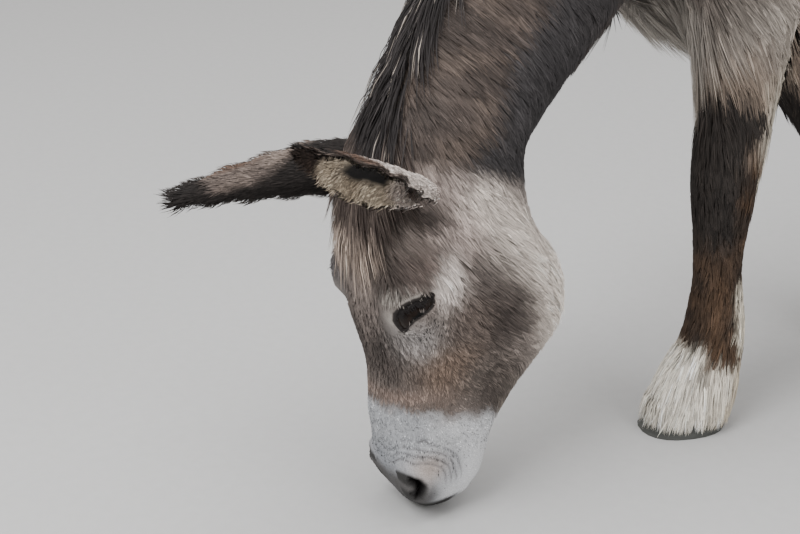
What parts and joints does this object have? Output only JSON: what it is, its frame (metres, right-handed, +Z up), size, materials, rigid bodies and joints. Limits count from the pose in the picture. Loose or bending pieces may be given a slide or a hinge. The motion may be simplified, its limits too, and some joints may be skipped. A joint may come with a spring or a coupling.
{
  "type": "grazing donkey",
  "caption": "Life-size still model of a shaggy grey-brown donkey standing with its head down to graze, ears forward, one foreleg drawn back.",
  "frame": {"origin": "on the floor under the middle of the animal's overall box", "axes": "+Z up, the animal faces -Y, and its left side is +X"},
  "size_m": [0.692, 1.7266, 1.0543],
  "materials": {
    "body_coat": "dense dull fur, grey-brown with paler and darker locks",
    "leg_coat": "fur, dark brown to black in front, cream behind, white at the pastern",
    "ear_coat": "short dense fur, dark at rim and tip, cream inside",
    "long_hair": "long coarse hair, near black with paler strands",
    "muzzle_skin": "short pale hair over grey skin, dark and bare round nostrils and lips",
    "hoof": "worn grey horn, semi-matt, with growth rings",
    "eye": "dark brown, wet and glossy"
  },
  "bodies": {
    "root": {"barrel": "body_coat", "dock": "body_coat", "ear_left": "ear_coat", "ear_right": "ear_coat", "eye_left": "eye", "eye_right": "eye", "foreleg_left_cannon": "leg_coat", "foreleg_left_forearm": "leg_coat", "foreleg_left_pastern": "leg_coat", "foreleg_right_cannon": "leg_coat", "foreleg_right_forearm": "leg_coat", "foreleg_right_pastern": "leg_coat", "forelock": "long_hair", "head": "body_coat", "hindleg_left_cannon": "leg_coat", "hindleg_left_gaskin": "leg_coat", "hindleg_left_pastern": "leg_coat", "hindleg_right_cannon": "leg_coat", "hindleg_right_gaskin": "leg_coat", "hindleg_right_pastern": "leg_coat", "hindquarters": "body_coat", "hoof_fore_left": "hoof", "hoof_fore_right": "hoof", "hoof_hind_left": "hoof", "hoof_hind_right": "hoof", "mane": "long_hair", "muzzle": "muzzle_skin", "neck": "body_coat", "shoulders": "body_coat", "tail_switch": "long_hair"}
  },
  "joints": []
}
